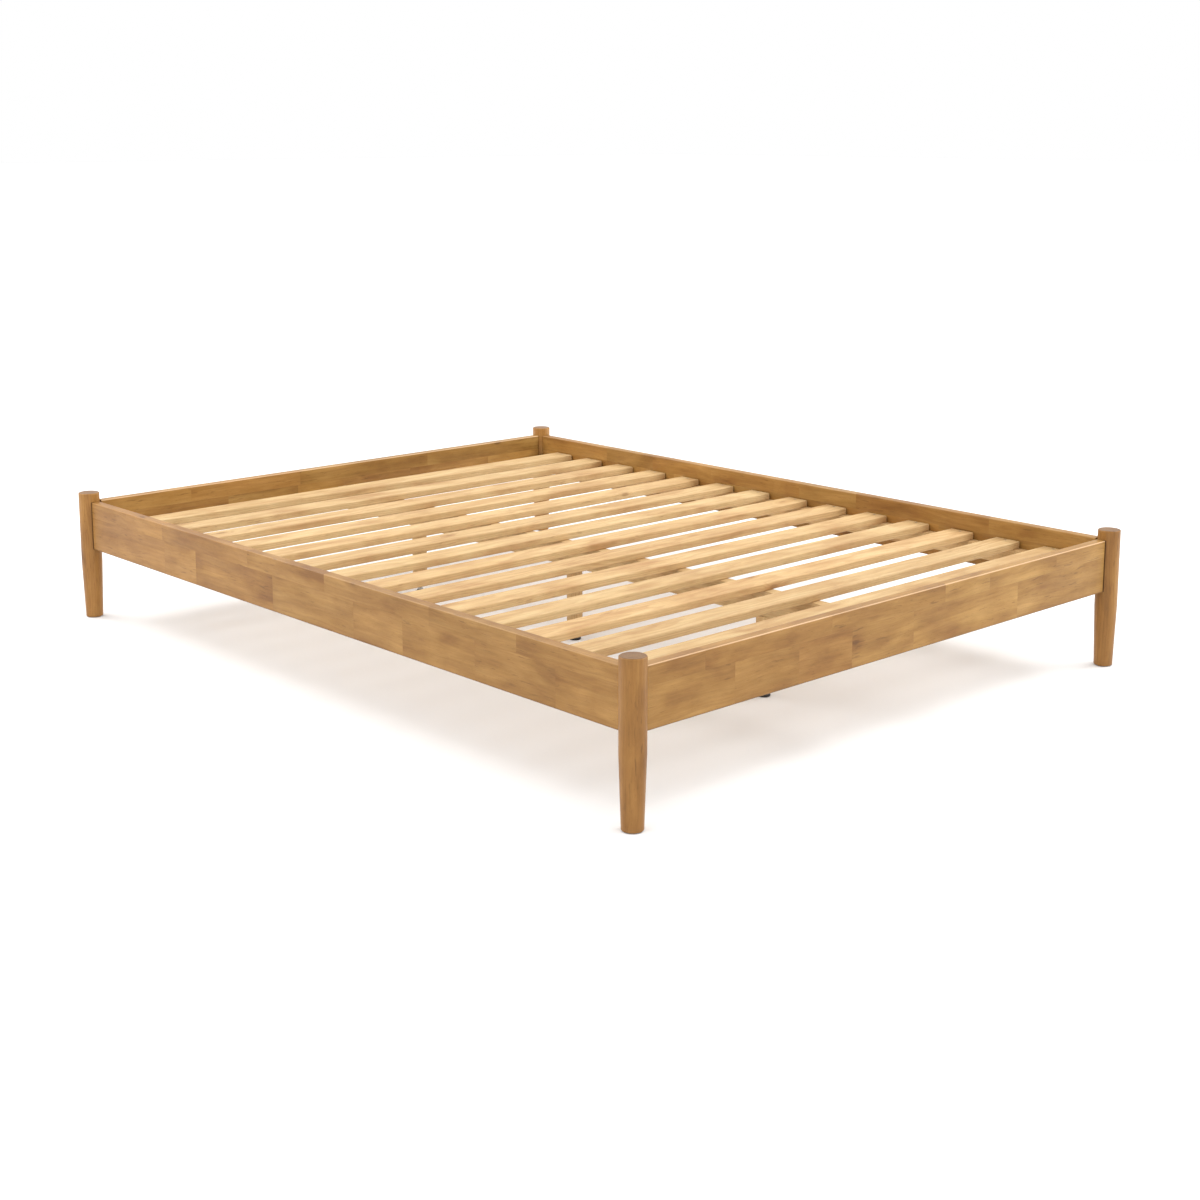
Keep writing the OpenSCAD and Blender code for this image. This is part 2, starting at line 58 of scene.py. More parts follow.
class Tree:
    """A material's node tree, with one short call for each kind of node."""

    def __init__(self, name):
        self.material = bpy.data.materials.new(name)
        self.material.use_nodes = True
        self.tree = self.material.node_tree
        self.tree.nodes.clear()

    def node(self, kind, **settings):
        made = self.tree.nodes.new(kind)
        for key, value in settings.items():
            setattr(made, key, value)
        return made

    def put(self, socket, value):
        if isinstance(value, bpy.types.NodeSocket):
            self.tree.links.new(value, socket)
        else:
            socket.default_value = value

    def math(self, operation, a, b=0.0):
        made = self.node("ShaderNodeMath", operation=operation)
        for socket, value in zip(made.inputs, (a, b)):
            self.put(socket, value)
        return made.outputs[0]

    def add(self, a, b):
        return self.math("ADD", a, b)

    def subtract(self, a, b):
        return self.math("SUBTRACT", a, b)

    def multiply(self, a, b):
        return self.math("MULTIPLY", a, b)

    def vector(self, operation, a, b):
        made = self.node("ShaderNodeVectorMath", operation=operation)
        self.put(made.inputs[0], a)
        self.put(made.inputs[1], b)
        return made.outputs["Vector"]

    def combine(self, x, y, z):
        made = self.node("ShaderNodeCombineXYZ")
        for socket, value in zip(made.inputs, (x, y, z)):
            self.put(socket, value)
        return made.outputs[0]

    def separate(self, value):
        made = self.node("ShaderNodeSeparateXYZ")
        self.put(made.inputs[0], value)
        return made.outputs

    def noise(self, where, scale, detail, rough, distortion=0.0):
        """Noise from 0 to 1 with scale features to a metre along each axis."""
        made = self.node("ShaderNodeTexNoise", noise_dimensions="3D", normalize=True)
        self.put(made.inputs["Vector"], self.vector("MULTIPLY", where, scale))
        self.put(made.inputs["Scale"], 1.0)
        self.put(made.inputs["Detail"], detail)
        self.put(made.inputs["Roughness"], rough)
        self.put(made.inputs["Distortion"], distortion)
        return made.outputs[0]

    def random(self, where):
        """Three numbers from 0 to 1 that are the same for the same place."""
        made = self.node("ShaderNodeTexWhiteNoise", noise_dimensions="3D")
        self.put(made.inputs["Vector"], where)
        return self.separate(made.outputs["Color"])

    def span(self, value, a, b, low=0.0, high=1.0, smooth=False):
        """Maps the range a to b onto low to high, and holds the ends."""
        made = self.node(
            "ShaderNodeMapRange", interpolation_type="SMOOTHSTEP" if smooth else "LINEAR"
        )
        for socket, number in zip(made.inputs, (value, a, b, low, high)):
            self.put(socket, number)
        return made.outputs[0]

    def ramp(self, value, stops):
        made = self.node("ShaderNodeValToRGB")
        points = made.color_ramp.elements
        while len(points) < len(stops):
            points.new(0.5)
        for point, (place, colour) in zip(points, stops):
            point.position = place
            point.color = (*colour, 1.0)
        self.put(made.inputs[0], value)
        return made.outputs[0]

    def mix(self, amount, a, b, blend="MIX"):
        made = self.node("ShaderNodeMix", data_type="RGBA", blend_type=blend)
        self.put(made.inputs[0], amount)
        self.put(made.inputs[6], a)
        self.put(made.inputs[7], b)
        return made.outputs[2]

    def tint(self, colour, red, green, blue):
        """Multiplies a colour's channels by three numbers."""
        return self.mix(1.0, colour, self.combine(red, green, blue), "MULTIPLY")

    def toward(self, amount, colour, other):
        """Moves a colour toward a fixed one by amount, 0 to 1."""
        return self.mix(amount, colour, (*other, 1.0))

    def attribute(self, name, output="Fac"):
        made = self.node("ShaderNodeAttribute", attribute_type="GEOMETRY", attribute_name=name)
        return made.outputs[output]

    def place(self):
        """The point's place in the frame, which is every object's own space."""
        return self.node("ShaderNodeTexCoord").outputs["Object"]

    def shade(self, colour, roughness, bump=None, strength=0.0, distance=0.0, **constants):
        """Finishes the material. Constants name the shader's inputs, with _ for a space."""
        shader = self.node("ShaderNodeBsdfPrincipled")
        self.put(shader.inputs["Base Color"], colour)
        self.put(shader.inputs["Roughness"], roughness)
        for name, value in constants.items():
            self.put(shader.inputs[name.replace("_", " ")], value)
        if bump is not None:
            bumped = self.node("ShaderNodeBump")
            self.put(bumped.inputs["Strength"], strength)
            self.put(bumped.inputs["Distance"], distance)
            self.put(bumped.inputs["Height"], bump)
            self.put(shader.inputs["Normal"], bumped.outputs[0])
        out = self.node("ShaderNodeOutputMaterial")
        self.put(out.inputs["Surface"], shader.outputs[0])
        return self.material


def srgb(r, g, b):
    """A colour as seen on a screen, 0 to 255, in the linear values a shader takes."""
    return tuple(
        c / 12.92 if c <= 0.04045 else ((c + 0.055) / 1.055) ** 2.4 for c in (r / 255, g / 255, b / 255)
    )


# ---------- wood ----------


SWIRL = 16 * MM  # how far the fibres wander
LOG_STEP = 3.17  # metres along the log from one seed to the next
Grain = namedtuple("Grain", "place bent late streak fibre pore knot")


def grain(t, point, pith, tilt, ring_width, seed):
    """Solid wood figure. point is a place in the log as (along the grain, across, through), pith the line
    (across, through) that the growth rings lie round, and tilt the slant of the rings to the grain.
    Returns the place, the place bent by the swirl, and growth rings, streaks, fibres, pores and knots as
    values from 0 to 1."""
    along, across, through = point
    shifted = t.add(along, seed * LOG_STEP)
    place = t.combine(shifted, across, through)
    wave = t.noise(place, (3.4, 15.0, 15.0), 3.0, 0.5)
    wave_b = t.noise(t.vector("ADD", place, (5.3, 1.7, 2.9)), (3.0, 13.0, 13.0), 2.0, 0.5)
    bent_across = t.add(across, t.span(wave, 0, 1, -SWIRL, SWIRL))
    bent_through = t.add(through, t.span(wave_b, 0, 1, -SWIRL * 0.7, SWIRL * 0.7))
    bent = t.combine(shifted, bent_across, bent_through)
    off_across = t.math("POWER", t.subtract(bent_across, pith[0]), 2.0)
    off_through = t.math("POWER", t.subtract(bent_through, pith[1]), 2.0)
    radius = t.math("SQRT", t.add(off_across, off_through))
    radius = t.add(radius, t.multiply(along, tilt))
    uneven = t.noise(bent, (1.2, 40.0, 40.0), 2.0, 0.5)
    turns = t.add(t.math("DIVIDE", radius, ring_width), t.span(uneven, 0, 1, -0.7, 0.7))
    knot = knots(t, bent)
    turns = t.add(turns, t.multiply(knot, 2.2))
    phase = t.math("FRACT", turns)
    rise = t.span(phase, 0.30, 0.86, smooth=True)
    fall = t.span(phase, 0.88, 1.0, 1.0, 0.0, smooth=True)
    late = t.multiply(rise, fall)
    streak = t.noise(bent, (3.4, 34.0, 34.0), 5.0, 0.52, 0.35)
    fibre = t.noise(bent, (11.0, 620.0, 620.0), 3.0, 0.6)
    pore = t.noise(t.vector("ADD", bent, (1.9, 4.1, 0.3)), (75.0, 1500.0, 1500.0), 1.0, 0.5)
    return Grain(place, bent, late, streak, fibre, pore, knot)


def knots(t, place):
    """A few small knots and grain swirls: 1 at a knot's middle, fading to 0 a few centimetres away."""
    cells = t.node("ShaderNodeTexVoronoi", voronoi_dimensions="3D", feature="F1")
    t.put(cells.inputs["Vector"], t.vector("MULTIPLY", place, (6.5, 15.0, 15.0)))
    t.put(cells.inputs["Scale"], 1.0)
    chosen = t.math("GREATER_THAN", t.separate(cells.outputs["Color"])[0], 0.80)
    return t.multiply(t.span(cells.outputs["Distance"], 0.30, 0.02, smooth=True), chosen)


def figure_colour(t, wood, light, middle, dark, pore_dark):
    """Colour of the figure: blotches and streaks, ring lines, a few dark dashes, knots, fibres and pores.
    Returns the colour, and where the open pores are."""
    patch = t.noise(wood.place, (5.5, 14.0, 14.0), 4.0, 0.5, 0.6)
    mottle = t.noise(wood.place, (15.0, 27.0, 27.0), 3.0, 0.5)
    level = t.add(t.multiply(wood.streak, 0.38), t.multiply(patch, 0.48))
    level = t.add(level, t.multiply(mottle, 0.14))
    level = t.subtract(level, t.multiply(wood.knot, 0.10))
    colour = t.ramp(level, [(0.36, dark), (0.49, middle), (0.64, light)])
    ring_patch = t.noise(wood.place, (2.7, 20.0, 20.0), 1.0, 0.5)
    colour = t.toward(t.multiply(wood.late, t.span(ring_patch, 0.35, 0.7, 0.04, 0.30)), colour, dark)
    dash = t.noise(t.vector("ADD", wood.bent, (0.7, 2.2, 9.1)), (26.0, 230.0, 230.0), 2.0, 0.5)
    dash_patch = t.noise(wood.place, (4.0, 9.0, 9.0), 1.0, 0.5)
    dashes = t.multiply(
        t.span(dash, 0.61, 0.71, smooth=True), t.span(dash_patch, 0.42, 0.64, 0.25, 1.0, smooth=True)
    )
    colour = t.toward(t.multiply(dashes, 0.42), colour, pore_dark)
    colour = t.toward(t.span(wood.knot, 0.70, 0.98, 0.0, 0.55, smooth=True), colour, pore_dark)
    line = t.noise(t.vector("ADD", wood.bent, (3.3, 0.4, 6.2)), (9.0, 190.0, 190.0), 3.0, 0.62)
    fine = t.multiply(t.span(wood.fibre, 0.25, 0.75, 0.94, 1.05), t.span(line, 0.25, 0.75, 0.88, 1.10))
    colour = t.tint(colour, fine, fine, t.math("POWER", fine, 1.4))
    flecks = t.span(wood.pore, 0.66, 0.74, smooth=True)
    return t.toward(t.multiply(flecks, 0.40), colour, pore_dark), flecks


def toned(t, colour, tone, warmth=0.0):
    """Makes a colour lighter by tone and redder by warmth, each about -0.1 to 0.1."""
    return t.tint(
        colour,
        t.add(1.0, t.add(tone, t.multiply(warmth, 0.5))),
        t.add(1.0, t.subtract(tone, t.multiply(warmth, 0.35))),
        t.add(1.0, t.subtract(tone, warmth)),
    )


HONEY = dict(
    light=srgb(172, 130, 70),
    middle=srgb(153, 111, 54),
    dark=srgb(129, 87, 38),
    pore_dark=srgb(80, 48, 21),
)
HONEY_POST = dict(
    light=srgb(170, 124, 65),
    middle=srgb(150, 105, 51),
    dark=srgb(126, 84, 38),
    pore_dark=srgb(78, 47, 22),
)
PALE = dict(
    light=srgb(206, 176, 128),
    middle=srgb(195, 161, 112),
    dark=srgb(170, 129, 82),
    pore_dark=srgb(130, 94, 56),
)
GLUE_LINE = srgb(120, 80, 46)
# Pale colour of the painted highlight along the rails' top roundings
PAINTED_HIGHLIGHT_COLOUR = srgb(228, 190, 150)
# Dark colour of the painted shade along the rails' bottom edges
PAINTED_BOTTOM_SHADE = srgb(88, 58, 30)
# Colour and strength of the painted shade in the shadow gaps between the rails and the posts
PAINTED_GAP_SHADE = srgb(62, 38, 20)
PAINTED_GAP_SHADE_AMOUNT = 0.75
RAIL_PAINTED_HIGHLIGHT = {"X": (0.30, 0.65), "Y": (0.0, 0.14)}  # least and most painted highlight on a rail's top edges, more on the rails across than along
POST_SPREAD = 7.0  # metres of log that the posts are cut from
BOARD_SPREAD = 31.0  # metres of log that the slats and supports are cut from
SEAT = (25.2 * MM, 25.9 * MM)  # distance from a post's axis over which its flat seats beside the rails get painted shade
SUPPORT_HEIGHT = 0.23  # about the middle of the ledgers and the centre beam


def end_grain_and_painted_shade(t, colour, axis, amount):
    """Darkens the faces that the grain runs out of, where wood drinks more finish. On the posts the larger
    amount is also painted shade that dims their tops.
    """
    normal = t.node("ShaderNodeTexCoord").outputs["Normal"]
    facing = t.math("ABSOLUTE", t.separate(normal)["XYZ".index(axis)])
    facing = t.span(facing, 0.72, 0.96, smooth=True)
    tone = t.subtract(1.0, t.multiply(facing, amount))
    cool = t.subtract(1.0, t.multiply(facing, amount * 0.8))
    return t.tint(colour, tone, tone, cool)


def lacquer(t, colour, wood, flecks, rough_low, rough_high):
    """Satin lacquered wood. Its gloss varies in long patches and is less in the pores, and its relief
    follows the fibres, the late wood and the pores."""
    sheen_patch = t.noise(wood.place, (6.0, 30.0, 30.0), 2.0, 0.5)
    rough = t.add(t.span(sheen_patch, 0.2, 0.8, rough_low, rough_high), t.multiply(flecks, 0.12))
    height = t.add(t.multiply(wood.fibre, 0.45), t.multiply(wood.late, 0.18))
    height = t.subtract(height, t.multiply(flecks, 0.8))
    gloss = dict(Specular_IOR_Level=0.28, Coat_Weight=0.04, Coat_Roughness=0.2)
    return t.shade(colour, rough, height, 0.35, 0.25 * MM, **gloss)


def rail_wood(name, axis):
    """Wood of the finger-jointed rails along one axis. Each stave's tone, warmth, place in the log and glue
    lines come from the mesh, and so do the painted highlight on the top roundings and the painted shade in
    the shadow gaps; the lowest few millimetres get painted shade too."""
    t = Tree(name)
    x, y, z = t.separate(t.place())
    shift_along, shift_across, shift_through = t.separate(t.attribute("shift", "Vector"))
    pith_across, pith_through, tilt = t.separate(t.attribute("pith", "Vector"))
    along, through = (x, y) if axis == "X" else (y, x)
    wood = grain(
        t,
        (t.add(along, shift_along), t.add(z, shift_across), t.add(through, shift_through)),
        (t.add(pith_across, shift_across), t.add(pith_through, shift_through)),
        tilt,
        ring_width=7.5 * MM,
        seed=1.0,
    )
    colour, flecks = figure_colour(t, wood, **HONEY)
    colour = toned(t, colour, t.attribute("tone"), t.attribute("warmth"))
    colour = t.toward(t.multiply(t.attribute("glue"), 0.40), colour, GLUE_LINE)
    # Painted highlight: the top roundings turn paler, patchy along the streaks
    rubbed = t.multiply(t.attribute("edge"), t.span(wood.streak, 0.3, 0.6, *RAIL_PAINTED_HIGHLIGHT[axis]))
    colour = t.toward(rubbed, colour, PAINTED_HIGHLIGHT_COLOUR)
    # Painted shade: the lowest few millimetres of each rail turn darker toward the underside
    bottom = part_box("head_rail")[0].z
    painted_bottom_shade = t.span(z, bottom + 4.2 * MM, bottom + 1.2 * MM, smooth=True)
    colour = t.toward(t.multiply(painted_bottom_shade, 0.55), colour, PAINTED_BOTTOM_SHADE)
    # Painted shade on the sides of the shadow gap at each rail end
    colour = t.toward(t.multiply(t.attribute("crevice"), PAINTED_GAP_SHADE_AMOUNT), colour, PAINTED_GAP_SHADE)
    return lacquer(t, colour, wood, flecks, 0.36, 0.48)


def post_wood(name):
    """Wood of the posts, grain upright. Each post has its own place in the log."""
    t = Tree(name)
    x, y, z = t.separate(t.place())
    side = t.math("SIGN", x)
    end = t.math("SIGN", y)
    low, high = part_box("post_head_right")
    centre = (low + high) / 2
    local_x = t.subtract(x, t.multiply(side, centre.x))
    local_y = t.subtract(y, t.multiply(end, centre.y))
    a, b, c = t.random(t.combine(side, end, 6.0))
    wood = grain(
        t,
        (t.add(z, t.multiply(a, POST_SPREAD)), local_x, local_y),
        (t.span(a, 0.0, 1.0, -0.075, -0.035), t.span(b, 0.0, 1.0, 0.03, 0.07)),
        t.span(c, 0.0, 1.0, -0.03, 0.03),
        ring_width=6.2 * MM,
        seed=2.0,
    )
    colour, flecks = figure_colour(t, wood, **HONEY_POST)
    at_foot = t.span(end, 1.0, -1.0)
    colour = toned(t, colour, t.add(t.span(c, 0.0, 1.0, -0.055, -0.015), t.multiply(at_foot, 0.09)))
    # Darker end grain, deepened on the post tops as painted shade
    colour = end_grain_and_painted_shade(t, colour, "Z", 0.36)
    # Painted shade on the post's seats beside the rail ends, inside the shadow gaps
    toward_rail = t.math(
        "MAXIMUM",
        t.multiply(t.multiply(side, local_x), -1.0),
        t.multiply(t.multiply(end, local_y), -1.0),
    )
    rail_low, rail_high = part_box("head_rail")
    beside = t.multiply(t.math("GREATER_THAN", z, rail_low.z), t.math("LESS_THAN", z, rail_high.z))
    crevice = t.multiply(t.span(toward_rail, *SEAT, smooth=True), beside)
    colour = t.toward(t.multiply(crevice, PAINTED_GAP_SHADE_AMOUNT), colour, PAINTED_GAP_SHADE)
    return lacquer(t, colour, wood, flecks, 0.34, 0.46)


def plain_wood(name, axis, pitch, seed):
    """Planed pale boards with no finish, grain along axis. Boards pitch metres apart are each cut from
    their own place in the log."""
    t = Tree(name)
    x, y, z = t.separate(t.place())
    along, across, through = {"X": (x, y, z), "Y": (y, z, x), "Z": (z, x, y)}[axis]
    cell_from = x if axis == "Y" else y
    cell = t.math("FLOOR", t.add(t.math("DIVIDE", cell_from, pitch), 0.0 if axis == "X" else 0.5))
    a, b, c = t.random(t.combine(cell, seed, 1.0))
    if axis == "X":
        across = t.subtract(across, t.multiply(t.add(cell, 0.5), pitch))
    if axis == "Y":
        across = t.subtract(across, SUPPORT_HEIGHT)
    wood = grain(
        t,
        (t.add(along, t.multiply(a, BOARD_SPREAD)), across, through),
        (t.span(b, 0, 1, -0.05, 0.05), t.span(c, 0, 1, 0.02, 0.16)),
        t.span(a, 0, 1, -0.02, 0.02),
        ring_width=4.8 * MM,
        seed=seed,
    )
    colour, flecks = figure_colour(t, wood, **PALE)
    colour = t.toward(t.multiply(wood.late, 0.30), colour, PALE["dark"])
    colour = toned(t, colour, t.span(b, 0, 1, -0.06, 0.05), t.span(c, 0, 1, -0.03, 0.03))
    colour = end_grain_and_painted_shade(t, colour, axis, 0.22)
    rough = t.span(t.noise(wood.place, (6.0, 30.0, 30.0), 2.0, 0.5), 0.2, 0.8, 0.55, 0.72)
    height = t.subtract(t.add(wood.fibre, t.multiply(wood.late, 0.3)), flecks)
    return t.shade(colour, rough, height, 0.45, 0.3 * MM, Specular_IOR_Level=0.4)


def zinc_plate(name):
    """Bright zinc plating: pale grey metal with a faint blue and yellow bloom, scratches and dull spots."""
    t = Tree(name)
    place = t.place()
    bloom = t.noise(place, (70.0, 70.0, 70.0), 4.0, 0.6)
    colour = t.ramp(
        bloom, [(0.30, srgb(168, 172, 178)), (0.50, srgb(184, 185, 186)), (0.72, srgb(190, 187, 178))]
    )
    spots = t.span(t.noise(place, (420.0, 420.0, 420.0), 2.0, 0.6), 0.60, 0.75, smooth=True)
    colour = t.toward(t.multiply(spots, 0.35), colour, srgb(132, 134, 138))
    scratch = t.noise(place, (900.0, 60.0, 900.0), 2.0, 0.5)
    rough = t.add(t.span(bloom, 0.3, 0.7, 0.28, 0.40), t.multiply(spots, 0.15))
    return t.shade(colour, rough, scratch, 0.12, 0.1 * MM, Metallic=1.0)


def moulded_plastic(name):
    """Black moulded plastic with a fine spark-eroded surface and a few scuffs."""
    t = Tree(name)
    place = t.place()
    scuff = t.span(t.noise(place, (60.0, 60.0, 260.0), 3.0, 0.6), 0.58, 0.75, smooth=True)
    colour = t.toward(t.multiply(scuff, 0.5), (*srgb(30, 30, 31), 1.0), srgb(66, 65, 63))
    grit = t.noise(place, (2600.0, 2600.0, 2600.0), 2.0, 0.6)
    rough = t.add(t.span(grit, 0.2, 0.8, 0.46, 0.60), t.multiply(scuff, 0.15))
    return t.shade(colour, rough, grit, 0.25, 0.1 * MM, Specular_IOR_Level=0.45)


# ---------- finger-jointed rails ----------

ROW_HEIGHT = 41 * MM  # height of the upper row of staves
EDGE = 3 * MM  # rounding of the long edges
EDGE_STEPS = 7  # flats in one rounding
PAINTED_HIGHLIGHT_POINTS = range(1, 6)  # points of a top rounding that get the painted highlight
BESIDE_EDGE = 0.7 * MM  # flat band that keeps the shading of a rounding off the faces
GAP = 3 * MM  # width of the shadow gap at each end, beside the post
GAP_DEPTH = 7 * MM  # depth of that gap from the outer face
CREVICE_DEPTH = GAP_DEPTH + 0.5 * MM  # depth from the outer face to which the gap's sides get painted shade
GLUE = 0.18 * MM  # half the width of a glue line
FINGER = 4.5 * MM  # half the length of a finger
FINGERS = 5
SAME_PLACE = 0.001 * MM  # points nearer than this become one
RAIL_END = 9.0  # stands for the end of a row's last stave, past the end of every rail
# A rail's end as (distance from the end, inset of the inner face, inset of the outer face)
END_SHAPE = [
    (0.0, 1.0 * MM, GAP_DEPTH),
    (0.3 * MM, 0.3 * MM, GAP_DEPTH),
    (1.0 * MM, 0.0, GAP_DEPTH),
    (GAP, 0.0, GAP_DEPTH),
    (GAP, 0.0, 0.5 * MM),
    (GAP + 0.15 * MM, 0.0, 0.15 * MM),
    (GAP + 0.5 * MM, 0.0, 0.0),
    (GAP + 1.3 * MM, 0.0, 0.0),
]

# A point of a rail's section. finger is -1, 0 or 1, the way that a finger joint moves it along the rail.
# The last field is 1 where a top rounding gets the painted highlight.
Point = namedtuple("Point", "through z finger rubbed")
# A place along a rail: how far its faces are set in, the row whose staves meet there or None, and its
# order among places at the same distance.
Station = namedtuple("Station", "place inner outer seam order")
# What a face of the mesh belongs to. Row 0 is the lower row, and 1 the upper. The fourth field marks faces
# with the painted shade of a shadow gap, and the last marks those with the painted highlight of a top
# rounding.
Tag = namedtuple("Tag", "row stave glue crevice edge")


def rail_profile(thick, low, high):
    """Outline of a rail's section, a list of points that starts up the outer face."""
    half = thick / 2
    row = high - ROW_HEIGHT
    run = half - EDGE - BESIDE_EDGE

    def face(side):
        """Flat face: upward on the outer side, which is 1, and downward on the inner one, -1."""
        levels = [low + EDGE + BESIDE_EDGE, row - GLUE, row + GLUE, high - EDGE - BESIDE_EDGE]
        return [Point(side * half, z, 0, 0) for z in levels[::side]]

    def arc(through, z, start, rubbed=()):
        """Rounding of a long edge, a quarter turn from the angle start. The points numbered in the last
        argument get the painted highlight.
        """
        made = []
        for i in range(EDGE_STEPS + 1):
            angle = start + math.pi / 2 * i / EDGE_STEPS
            at = (through + EDGE * math.cos(angle), z + EDGE * math.sin(angle))
            made.append(Point(*at, 0, int(i in rubbed)))
        return made

    def strip(z, direction):
        """Flat edge, crossed by the fingers, from one side of the rail to the other."""
        made = [Point(direction * run, z, 0, 0)]
        for i in range(2 * FINGERS):
            at = run - (i + 0.5) * run / FINGERS
            made.append(Point(direction * at, z, 1 if i % 2 else -1, 0))
        made.append(Point(-direction * run, z, 0, 0))
        return made

    outline = face(1)
    outline += arc(half - EDGE, high - EDGE, 0, PAINTED_HIGHLIGHT_POINTS)
    outline += strip(high, 1)
    outline += arc(-half + EDGE, high - EDGE, math.pi / 2, PAINTED_HIGHLIGHT_POINTS)
    outline += face(-1)
    outline += arc(-half + EDGE, low + EDGE, math.pi)
    outline += strip(low, -1)
    outline += arc(half - EDGE, low + EDGE, 1.5 * math.pi)
    return outline


def stations(length, seams):
    """Places along a rail at which its section is drawn. seams holds the seams of the two rows."""
    half = length / 2
    made = []
    for order, (off, inner, outer) in enumerate(END_SHAPE):
        made.append(Station(-half + off, inner, outer, None, order))
        made.append(Station(half - off, inner, outer, None, -order))
    for row, places in enumerate(seams):
        for place in places:
            made.append(Station(place - GLUE, 0.0, 0.0, row, 0))
            made.append(Station(place + GLUE, 0.0, 0.0, row, 0))
    return sorted(made, key=lambda one: (round(one.place, 7), one.order))


def stave_looks(own, rows, middles, plane):
    """Each stave's tone, warmth and cut, by (row, stave). shift moves the stave within the log, and pith
    is the line (height, through) that its rings lie round, with their slant. middles are the heights of
    the rows' middles, and plane the place of the rail's middle plane."""
    looks = {}
    for row, staves in enumerate(rows):
        for index, (_, tone, warmth) in enumerate(staves):
            looks[row, index] = dict(
                tone=tone,
                warmth=warmth,
                shift=(own.uniform(-20, 20), own.uniform(-2, 2), own.uniform(-2, 2)),
                pith=(
                    middles[row] + own.uniform(-0.05, 0.05),
                    plane + own.choice((-1, 1)) * own.uniform(0.03, 0.12),
                    own.uniform(-0.035, 0.035),
                ),
            )
    return looks


def stave_rail(name, node, axis, side, rows):
    """Builds a rail from its staves. rows holds, for the lower and the upper row, a list of staves as
    (end place, tone, warmth), from the negative end; side is +1 or -1, the way the outer face looks."""
    low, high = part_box(node)
    centre = (low + high) / 2
    size = high - low
    length, thick = (size.x, size.y) if axis == "X" else (size.y, size.x)
    row_z = high.z - ROW_HEIGHT
    outline = rail_profile(thick, low.z, high.z)
    seams = [[end for end, _, _ in row[:-1]] for row in rows]
    places = stations(length, seams)

    points = []
    for station in places:
        for point in outline:
            reach = point.finger * FINGER if station.seam == int(point.z > row_z) else 0.0
            along = station.place + reach
            through = side * max(-thick / 2 + station.inner, min(thick / 2 - station.outer, point.through))
            if axis == "X":
                points.append((along, centre.y + through, point.z))
            else:
                points.append((centre.x + through, along, point.z))

    count = len(outline)
    faces, tags = [], []
    for i, (here, there) in enumerate(zip(places, places[1:])):
        middle = (here.place + there.place) / 2
        in_gap = max(here.outer, there.outer) > GAP_DEPTH / 2
        close = there.place - here.place < 3 * GLUE
        for j, one in enumerate(outline):
            k = (j + 1) % count
            other = outline[k]
            z = (one.z + other.z) / 2
            row = int(z > row_z)
            glue = abs(z - row_z) < GLUE / 2 or (close and here.seam == there.seam == row)
            # Faces inside a shadow gap get the painted shade
            crevice = in_gap and (one.through + other.through) / 2 > thick / 2 - CREVICE_DEPTH
            # Faces of a top rounding outside the gaps get the painted highlight
            edge = 0 if crevice else min(one.rubbed, other.rubbed)
            stave = sum(middle >= seam for seam in seams[row])
            faces.append((i * count + j, i * count + k, (i + 1) * count + k, (i + 1) * count + j))
            tags.append(Tag(row, stave, float(glue), float(crevice), float(edge)))
    last = (len(places) - 1) * count
    faces += [tuple(range(count)), tuple(range(last, last + count))]
    tags += [Tag(0, stave, 0.0, 0.0, 0.0) for stave in (0, len(rows[0]) - 1)]
    mesh = bpy.data.meshes.new(name)
    mesh.from_pydata(points, [], faces)

    middles = ((low.z + row_z) / 2, (row_z + high.z) / 2)
    plane = centre.y if axis == "X" else centre.x
    looks = stave_looks(random.Random(name), rows, middles, plane)
    for key in ("tone", "warmth"):
        face_values(mesh, key, [looks[tag.row, tag.stave][key] for tag in tags])
    for key in ("shift", "pith"):
        face_vectors(mesh, key, [looks[tag.row, tag.stave][key] for tag in tags])
    for key in ("glue", "crevice", "edge"):
        face_values(mesh, key, [getattr(tag, key) for tag in tags])
    rail = finish_mesh(name, mesh, rail_wood_for[axis], sharp_degrees=32)
    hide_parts(node)
    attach(rail, "frame")


def face_values(mesh, key, values):
    mesh.attributes.new(key, "FLOAT", "FACE").data.foreach_set("value", values)


def face_vectors(mesh, key, vectors):
    numbers = [number for vector in vectors for number in vector]
    mesh.attributes.new(key, "FLOAT_VECTOR", "FACE").data.foreach_set("vector", numbers)


def finish_mesh(name, mesh, material, sharp_degrees):
    """Closes up a new mesh: faces outward, smooth with sharp edges kept, one material, in the scene."""
    work = bmesh.new()
    work.from_mesh(mesh)
    bmesh.ops.remove_doubles(work, verts=work.verts, dist=SAME_PLACE)
    bmesh.ops.recalc_face_normals(work, faces=work.faces)
    for face in work.faces:
        face.smooth = True
    work.to_mesh(mesh)
    work.free()
    mesh.set_sharp_from_angle(angle=math.radians(sharp_degrees))
    mesh.materials.append(material)
    made = bpy.data.objects.new(name, mesh)
    bpy.context.scene.collection.objects.link(made)
    return made


def random_staves(seed, half, shortest=0.16, longest=0.46):
    """A row of staves of mixed lengths and tones, for the rails that face away."""
    own = random.Random(seed)
    place, row = -half, []
    while place < half:
        place += own.uniform(shortest, longest)
        if half - place < shortest:
            place = RAIL_END
        row.append((place, own.uniform(-0.07, 0.08), own.uniform(-0.05, 0.05)))
    return row


rail_wood_for = {"X": rail_wood("rail_wood_across", "X"), "Y": rail_wood("rail_wood_along", "Y")}

